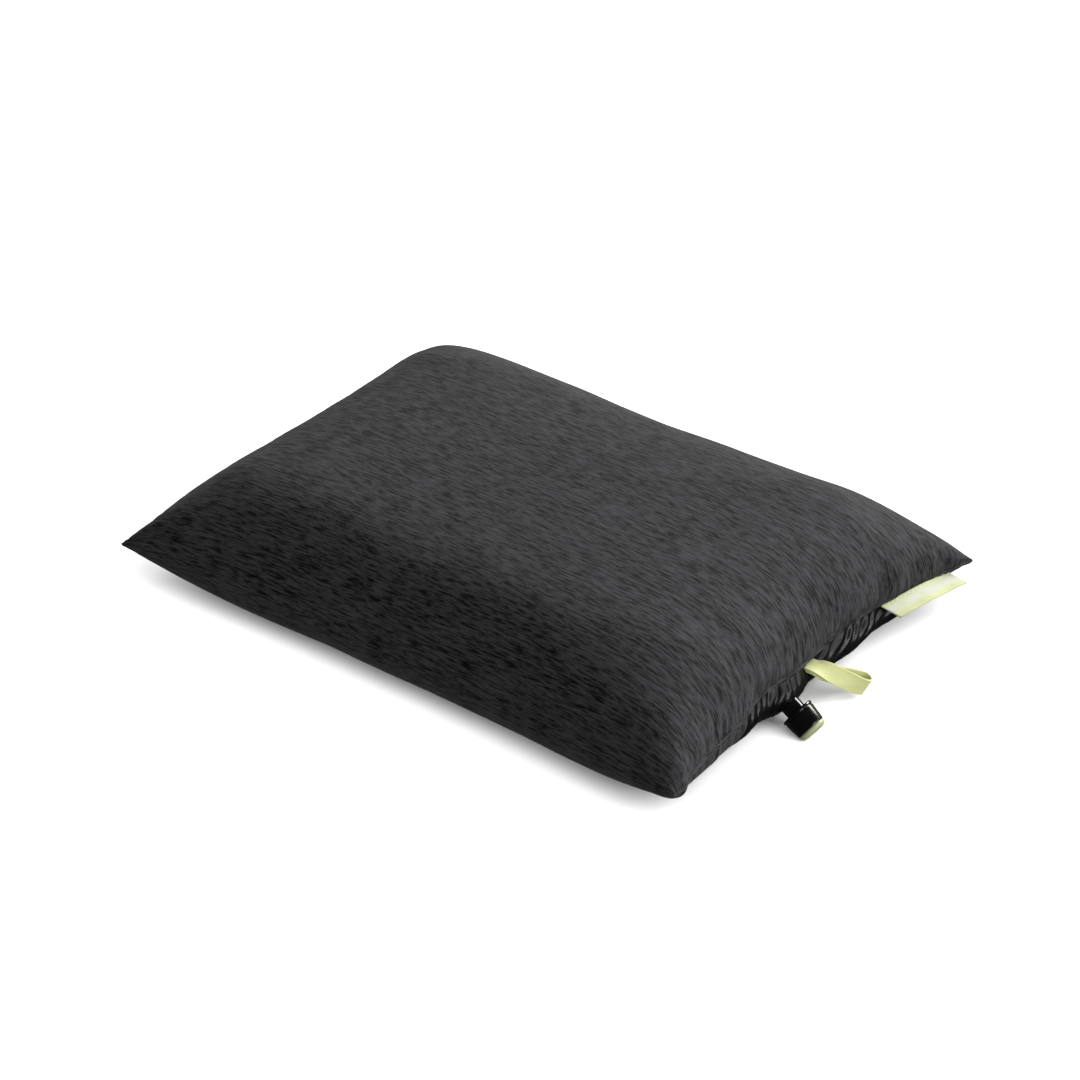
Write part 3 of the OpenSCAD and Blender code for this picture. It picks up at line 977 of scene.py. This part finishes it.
def make_batt():
    batt = layer_piece(
        "fibre_batt_sheet",
        lambda side, u, v: (side == TOP) & (np.abs(u) < BATT_EDGE) & (np.abs(v) < BATT_EDGE),
        1.4 * MM, 3.2 * MM, "batt", "batt", lift=lift_inner,
    )
    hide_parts("insulation_batt")


# --- Bladder ---
DEEP_INSET = 3.8 * MM
NEAR_INSET = 1.9 * MM
SKIN_T = 0.5 * MM
SWELL_PROUD = 1.0 * MM
VALVE_SWELL = 6.0 * MM
FOLD_DEPTH = 2.7 * MM
FOLD_PITCH = 5.2 * MM
# How steeply the folds climb by the valve, and further along
FOLD_STEEP = math.radians(66)
FOLD_SHALLOW = math.radians(42)


def opening_share(side):
    """1 in the cover's opening, where the bladder swells out to the knit, and 0 away from it."""
    if side == TOP:
        return np.zeros(U.shape)
    end = smooth_step((U - 0.78) / 0.1)
    front = smooth_step((V - OPENING_V[0] + 0.1) / 0.12)
    back = smooth_step((OPENING_V[1] + 0.1 - V) / 0.12)
    return end * front * back


def bladder_inset(side):
    share = opening_share(side)
    rim_fade = smooth_step((1 - U) / 0.01)
    return DEEP_INSET + (NEAR_INSET - DEEP_INSET) * share * rim_fade


def bladder_swell(side, points):
    """Swell the bladder's end out of the opening, and most round the valve's neck."""
    points = lift_inner(side, points)
    if side == TOP:
        return points
    y = points[..., 1]
    z = points[..., 2]
    shown = opening_share(side) * smooth_step(z / 0.004) * smooth_step((SEAM_H - z) / 0.007)
    away = np.hypot((y - VALVE_SEAT[1] - 0.001) / 1.35, (z - VALVE_SEAT[2] - 0.003) / 0.85)
    swell = VALVE_SWELL * np.exp(-((away / 0.012) ** 2)) * smooth_step(z / 0.006)
    swell = swell * smooth_step((U - 0.8) / 0.05)
    return points + side_normals(points, side) * (SWELL_PROUD * shown + swell)[..., None]


def near_opening(u, v):
    return u > 0.78 and OPENING_V[0] - 0.12 < v < OPENING_V[1] + 0.12


def bladder_folds(points, u, v, cloth):
    """Gathers of the bladder's end: round folds that climb towards +Y, steeper near the valve."""
    y = points[:, 1]
    z = points[:, 2]
    tilt = FOLD_STEEP + (FOLD_SHALLOW - FOLD_STEEP) * smooth_step((y + 0.02) / 0.06)
    wander = 0.0022 * noise_field(y / 0.012, z / 0.012, 4.7)
    across_fold = y * np.sin(tilt) - z * np.cos(tilt) + wander
    fold = np.abs(np.sin(math.pi * across_fold / FOLD_PITCH)) ** 0.75
    minor = np.abs(np.sin(math.pi * across_fold / (0.43 * FOLD_PITCH) + 0.7)) ** 0.8
    strength = 0.75 + 0.5 * noise_field(y / 0.02, z / 0.03, 11.3)
    front = smooth_step((v - OPENING_V[0] + 0.1) / 0.06)
    back = smooth_step((OPENING_V[1] + 0.1 - v) / 0.06)
    tucked = 0.25 + 0.75 * smooth_step((SEAM_H + 0.001 - z) / 0.008)
    shown = smooth_step((u - 0.8) / 0.06) * front * back * smooth_step(z / 0.004) * tucked
    boot = np.exp(-(((y - VALVE_SEAT[1]) / 0.013) ** 2) - ((z - VALVE_SEAT[2]) / 0.013) ** 2)
    return (0.8 * fold * strength + 0.2 * minor) * FOLD_DEPTH * shown * (1 - 0.6 * boot)


def bladder_back(side):
    return bladder_inset(side) + SKIN_T


def make_bladder():
    upper = layer_piece(
        "bladder_upper_skin",
        lambda side, u, v: side == TOP,
        bladder_inset, bladder_back, "bladder", "bladder_fabric", lift=bladder_swell,
    )
    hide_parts("bladder_top_skin")
    lower = layer_piece(
        "bladder_lower_skin",
        lambda side, u, v: side == BOTTOM,
        bladder_inset, bladder_back, "bladder", "bladder_fabric", lift=bladder_swell,
    )
    refine(lower, near_opening, bladder_folds)
    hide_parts("bladder_bottom_skin")


# --- Seams and lips ---
def rim_path(u_side, v_from, v_to, inward):
    """Points along a short end's rim, moved inwards by a distance."""
    row = lift_lip(TOP, cover_shell[TOP])[-1 if u_side > 0 else 0]
    chosen = (v_values >= v_from - 1e-6) & (v_values <= v_to + 1e-6)
    path = row[chosen].copy()
    path[:, 0] -= math.copysign(inward, u_side)
    return path


def make_welt(name, path, radius):
    points, faces, cloth = sweep(tube_stations(path), circle_section(radius))
    make_piece(name, points, faces, "knit", cloth=cloth)


def make_seams():
    make_welt("lip_fold", rim_path(1, *OPENING_V, 0.5 * MM), 1.1 * MM)
    make_welt("front_end_seam", rim_path(1, -1, OPENING_V[0], 0.3 * MM), 0.7 * MM)
    make_welt("back_end_seam", rim_path(1, OPENING_V[1], 1, 0.3 * MM), 0.7 * MM)
    make_welt("far_end_seam", rim_path(-1, -1, 1, 0.3 * MM), 0.7 * MM)


STITCH_PITCH = 3.2 * MM
STITCH_LENGTH = 2.3 * MM
THREAD_RADIUS = 0.25 * MM


def make_stitches(name, path, normals, material):
    """A row of stitches along a path: each one rises out of the cloth and dips back into it."""
    lengths = path_lengths(path)
    share = np.linspace(0, 1, 6)
    arc = THREAD_RADIUS * (1.4 * np.sin(math.pi * share) - 0.6)
    points = []
    faces = []
    for start in np.arange(STITCH_PITCH / 2, lengths[-1] - STITCH_LENGTH, STITCH_PITCH):
        run = start + STITCH_LENGTH * share
        middle = np.stack([np.interp(run, lengths, path[:, k]) for k in range(3)], axis=-1)
        out = np.stack([np.interp(run, lengths, normals[:, k]) for k in range(3)], axis=-1)
        stations = tube_stations(middle + out * arc[:, None])
        ring, ring_faces, _ = sweep(stations, circle_section(THREAD_RADIUS, 6))
        offset = len(points) * len(ring)
        points.append(ring)
        faces.extend(tuple(k + offset for k in face) for face in ring_faces)
    return make_piece(name, np.concatenate(points), faces, material)


def make_panel_stitches():
    """One row of stitches round the underside panel, a grid line inside its edge."""
    shell = cover_shell[BOTTOM].copy()
    normals = side_normals(shell, BOTTOM)
    shell[..., 2] = np.maximum(shell[..., 2], 0.55 * MM)
    low_u, high_u = (int(np.argmin(np.abs(u_values - u))) for u in PANEL_U)
    low_v, high_v = (int(np.argmin(np.abs(v_values - v))) for v in (-PANEL_V, PANEL_V))
    sides = {
        "front": (slice(low_u + 1, high_u), low_v + 1),
        "back": (slice(low_u + 1, high_u), high_v - 1),
        "far": (low_u + 1, slice(low_v + 1, high_v)),
        "near": (high_u - 1, slice(low_v + 1, high_v)),
    }
    for side, chosen in sides.items():
        name = "panel_stitches_" + side
        make_stitches(name, shell[chosen], normals[chosen], "dark_thread")


# --- Valve ---
def valve_matrix():
    turn = Matrix.Rotation(math.pi / 2 + VALVE_DROOP, 4, "Y")
    return Matrix.Translation(VALVE_SEAT) @ turn


def rounded(profile, radii):
    """A closed profile of (radius, height) corners, each rounded by an arc of its own radius."""
    points = []
    count = len(profile)
    for k in range(count):
        here = np.array(profile[k], float)
        back = np.array(profile[k - 1], float) - here
        ahead = np.array(profile[(k + 1) % count], float) - here
        reach = min(radii[k], 0.45 * np.linalg.norm(back), 0.45 * np.linalg.norm(ahead))
        if reach < 1e-6:
            points.append(tuple(here))
            continue
        start = here + unit(back) * reach
        end = here + unit(ahead) * reach
        for t in np.linspace(0, 1, 5):
            points.append(tuple((1 - t) ** 2 * start + 2 * t * (1 - t) * here + t * t * end))
    return points


def turned_piece(name, profile, radii, material, body, steps=96):
    """A solid turned about the valve's axis from a closed profile in millimetres."""
    outline = rounded(profile, radii)
    place = valve_matrix()
    points = []
    for k in range(steps):
        a = 2 * math.pi * k / steps
        for r, z in outline:
            points.append(place @ (Vector((r * math.cos(a), r * math.sin(a), z)) * MM))
    ring = len(outline)
    faces = []
    for k in range(steps):
        m = (k + 1) % steps
        for c in range(ring):
            d = (c + 1) % ring
            faces.append((k * ring + c, m * ring + c, m * ring + d, k * ring + d))
    return make_piece(name, points, faces, material, body=body)


def make_valve():
    neck = turned_piece(
        "neck_tube",
        [(4, -8), (5.75, -8), (5.75, 19.2), (4, 19.2)],
        [0.3, 0.3, 0.4, 0.4],
        "black", "pillow",
    )
    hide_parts("valve_neck")
    knob = turned_piece(
        "twist_knob",
        [(6.1, 10.6), (9.0, 10.6), (9.6, 11.1), (9.6, 12.1), (9.05, 12.5), (9.05, 13.0), (9.3, 13.3),
         (8.5, 21.9), (8.2, 22.4), (7.7, 22.4), (7.7, 14.4), (8.5, 14.4), (8.5, 12.6), (6.1, 12.6)],
        [0.2, 0.4, 0.3, 0.3, 0.15, 0.15, 0.3, 0.3, 0.25, 0.1, 0.1, 0.1, 0.1, 0.1],
        "black", "knob",
    )
    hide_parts("valve_knob")
    mouthpiece = turned_piece(
        "lime_mouthpiece",
        [(6.1, 12.9), (8.2, 12.9), (8.2, 14.1), (7.4, 14.1), (7.4, 22.7), (8.15, 22.7), (8.15, 23.9),
         (7.3, 25.1), (5.6, 25.5), (4.5, 25.5), (4.5, 21.5), (3.2, 21.5), (3.2, 19.6), (6.1, 19.6)],
        [0.1, 0.1, 0.1, 0.1, 0.1, 0.3, 0.9, 0.9, 0.5, 0.4, 0.2, 0.2, 0.2, 0.2],
        "lime", "mouthpiece",
    )
    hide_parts("valve_mouthpiece")


# CAD nodes that stay in view as they are, by material
INNER_PIECES = {
    "bladder": ("front_baffle", "rear_baffle"),
    "black": ("valve_flange", "valve_plug"),
    "rubber": ("plug_seal", "neck_o_ring"),
}


def dress(node, material):
    """Give a CAD node that stays in view its material, and merge away its faces of no area."""
    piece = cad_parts[node]
    piece.modifiers.new("weld", "WELD").merge_threshold = 0.001 * MM
    piece.data.materials.clear()
    piece.data.materials.append(MATERIALS[material])


# --- Loop and label ---
LOOP_ROUTE = [(177.6, 5.8, 29.2), (191, 6, 30), (190, 30, 10.0), (196.5, 36, 9.2)]
LOOP_ROOT = (173.5, 5.8, 29.2)
RIBBON_W = 10.5 * MM
END_LEAN = math.radians(13)
RIBBON_T = 0.9 * MM
ROOT_PITCH = 1.4 * MM
LOOP_EYE = 6.6 * MM
BEND_T = 0.83


def bezier(t):
    p = np.array(LOOP_ROUTE) * MM
    near = (1 - t) ** 3 * p[0] + 3 * t * (1 - t) ** 2 * p[1]
    return near + 3 * t * t * (1 - t) * p[2] + t**3 * p[3]


def bezier_slope(t):
    p = np.array(LOOP_ROUTE) * MM
    first = 3 * (1 - t) ** 2 * (p[1] - p[0])
    second = 6 * t * (1 - t) * (p[2] - p[1])
    third = 3 * t * t * (p[3] - p[2])
    return first + second + third


def loop_width(t):
    along = unit(bezier_slope(t))
    turn = math.pi / 2 * smooth_step(t / 0.8)
    lean = END_LEAN * smooth_step(t / 0.8)
    aim = np.array([math.sin(lean), math.cos(turn), math.sin(turn)])
    return unit(aim - aim.dot(along) * along)


def loop_side(t):
    return np.cross(unit(bezier_slope(t)), loop_width(t))


def ply_offset(t):
    return (ROOT_PITCH + (LOOP_EYE + RIBBON_T - ROOT_PITCH) * smooth_step(t / 0.75)) / 2


def ply_run(hand, steps=44):
    """One ply of the folded loop, from its sewn end to the bend."""
    root = np.array(LOOP_ROOT) * MM
    middles = [(0, root + (bezier(0) - root) * share) for share in np.linspace(0, 1, 5)[:-1]]
    for k in range(steps):
        t = BEND_T * k / steps
        middles.append((t, bezier(t)))
    run = []
    for t, middle in middles:
        away = hand * loop_side(t)
        run.append((middle + ply_offset(t) * away, loop_width(t), away))
    return run


def loop_stations(bends=20):
    """Out along one ply, round the bend, and back along the other ply."""
    bend = []
    for k in range(bends + 1):
        a = math.pi * k / bends
        away = math.cos(a) * loop_side(BEND_T) + math.sin(a) * unit(bezier_slope(BEND_T))
        bend.append((bezier(BEND_T) + ply_offset(BEND_T) * away, loop_width(BEND_T), away))
    return ply_run(1) + bend + ply_run(-1)[::-1]


def make_loop():
    points, faces, cloth = sweep(loop_stations(), tape_section(RIBBON_W, RIBBON_T))
    loop = make_piece("pull_loop", points, faces, "loop", body=None, cloth=cloth)
    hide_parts("loop_tab", "loop_tab_root")
    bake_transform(loop)
    return loop


LABEL_START = np.array((179.0, 71.2, 34.0)) * MM
LABEL_RUN = np.array((8.6, 55.3, -2.6)) * MM
LABEL_REACH = np.array((11, 4.4, -4.9)) * MM
LABEL_UP = unit(np.cross(LABEL_REACH, LABEL_RUN))


def label_point(a, b):
    """a runs 0..1 along the seam, b 0..1 out to the free edge, which waves a little."""
    wave = 0.55 * MM * math.sin(2.3 * math.pi * a + 0.4) + 0.3 * MM * math.sin(5.1 * math.pi * a)
    droop = 0.8 * MM * b * b - 2.0 * MM * math.sin(math.pi * a)
    return LABEL_START + a * LABEL_RUN + b * LABEL_REACH + LABEL_UP * (wave * b * b - droop)


def make_label(columns=61):
    run = unit(LABEL_RUN)
    stations = []
    for k in range(columns):
        a = k / (columns - 1)
        wide = unit(label_point(a, 1) - label_point(a, 0))
        stations.append((label_point(a, 0.5), wide, np.cross(run, wide)))
    width = float(np.linalg.norm(LABEL_REACH))
    points, faces, cloth = sweep(stations, tape_section(width, RIBBON_T))
    cloth[:, 1] += width / 2
    label = make_piece("label_flap", points, faces, "label", body=None, cloth=cloth)
    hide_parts("label_tab", "label_tab_root")
    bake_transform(label)
    row = np.array([label_point(a, 0.11) for a in np.linspace(0.02, 0.98, 40)])
    row = row + LABEL_UP * 0.55 * RIBBON_T
    normals = np.tile(LABEL_UP, (40, 1))
    stitches = make_stitches("label_stitches", row, normals, "lime_thread")
    return [label, stitches]


make_cover()
make_hems()
make_batt()
make_bladder()
make_seams()
make_valve()
for material, nodes in INNER_PIECES.items():
    for node in nodes:
        dress(node, material)
make_panel_stitches()
add_trim_light([make_loop(), *make_label()])
